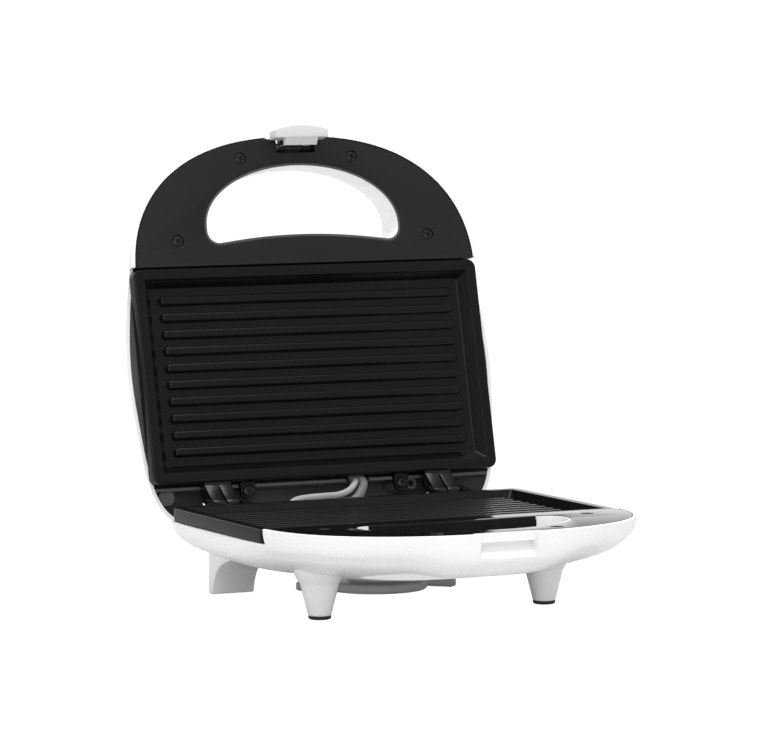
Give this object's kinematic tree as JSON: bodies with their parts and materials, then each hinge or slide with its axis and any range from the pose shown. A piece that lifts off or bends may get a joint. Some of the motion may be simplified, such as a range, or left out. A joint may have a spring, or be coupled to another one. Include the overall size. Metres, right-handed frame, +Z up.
{
  "type": "panini press",
  "caption": "Electric two-slice panini press with a hinged lid, ribbed heated plates, bow handles, a front latch and an underside cord spool.",
  "frame": {"origin": "on the surface it stands on, under the middle of the open press's box", "axes": "+X to the right seen from the front handle, +Y from the front handle back to the hinge, +Z up"},
  "size_m": [0.2358, 0.2888, 0.2691],
  "materials": {
    "white_shell": "white moulded, soft gloss",
    "gloss_black_cover": "polished black",
    "satin_black_cover": "satin black",
    "nonstick_plate": "cast, dark non-stick coating",
    "element_steel": "heat-tinted sheath",
    "reflector_sheet": "bright sheet",
    "zinc_screw": "zinc plated",
    "black_screw": "black oxide",
    "black_bracket": "black, semi-matt",
    "pin_steel": "bright drawn",
    "foot_rubber": "matt",
    "gland_rubber": "matt",
    "grey_plastic": "light grey moulded",
    "ceramic_body": "unglazed",
    "fibre_sleeve": "woven glass-fibre sleeve",
    "lamp_glass": "clear neon lamp",
    "red_lens": "translucent red",
    "silicone_sleeve": "pale silicone",
    "coil_guard": "pale ribbed spiral"
  },
  "bodies": {
    "base": {"lower_housing": "white_shell", "lower_handle_cover": "gloss_black_cover", "lower_plate": "nonstick_plate", "lower_heating_element": "element_steel", "lower_heat_reflector": "reflector_sheet", "lower_reflector_screws": "zinc_screw", "lower_plate_screws": "black_screw", "lower_cover_screws": "black_screw", "lower_hinge_brackets": "black_bracket", "lower_bracket_screws": "black_screw", "hinge_pins": "pin_steel", "front_foot_pads": "foot_rubber", "cord_spool": "grey_plastic", "cord_spool_screws": "zinc_screw", "cord_gland": "gland_rubber", "terminal_block": "ceramic_body", "thermal_fuse": "element_steel", "lower_wires": "fibre_sleeve", "wire_sleeve": "silicone_sleeve", "wire_coil_guard": "coil_guard"},
    "lid": {"upper_housing": "white_shell", "upper_handle_cover": "satin_black_cover", "upper_plate": "nonstick_plate", "upper_heating_element": "element_steel", "upper_heat_reflector": "reflector_sheet", "upper_reflector_screws": "zinc_screw", "upper_plate_screws": "black_screw", "upper_cover_screws": "black_screw", "upper_hinge_brackets": "black_bracket", "upper_bracket_screws": "black_screw", "thermostat": "ceramic_body", "thermostat_screws": "zinc_screw", "upper_wires": "fibre_sleeve", "indicator_lamps": "lamp_glass", "indicator_lenses": "red_lens", "latch_pin": "pin_steel", "latch_spring": "pin_steel"},
    "latch": {"latch": "grey_plastic"}
  },
  "joints": [
    {"name": "lid_hinge", "type": "hinge", "parent": "base", "child": "lid", "pos_m": [0, 0.0762, 0.05], "axis": [1, 0, 0], "range_deg": [0, 103.4], "deforming": ["wire_sleeve", "wire_coil_guard"]},
    {"name": "latch_pivot", "type": "hinge", "parent": "lid", "child": "latch", "pos_m": [0, 0.13529, 0.25488], "axis": [1, 0, 0], "range_deg": [-15, 0], "stiffness_Nm_per_rad": 0.03, "springref_deg": 8.59, "deforming": ["latch_spring"]}
  ]
}
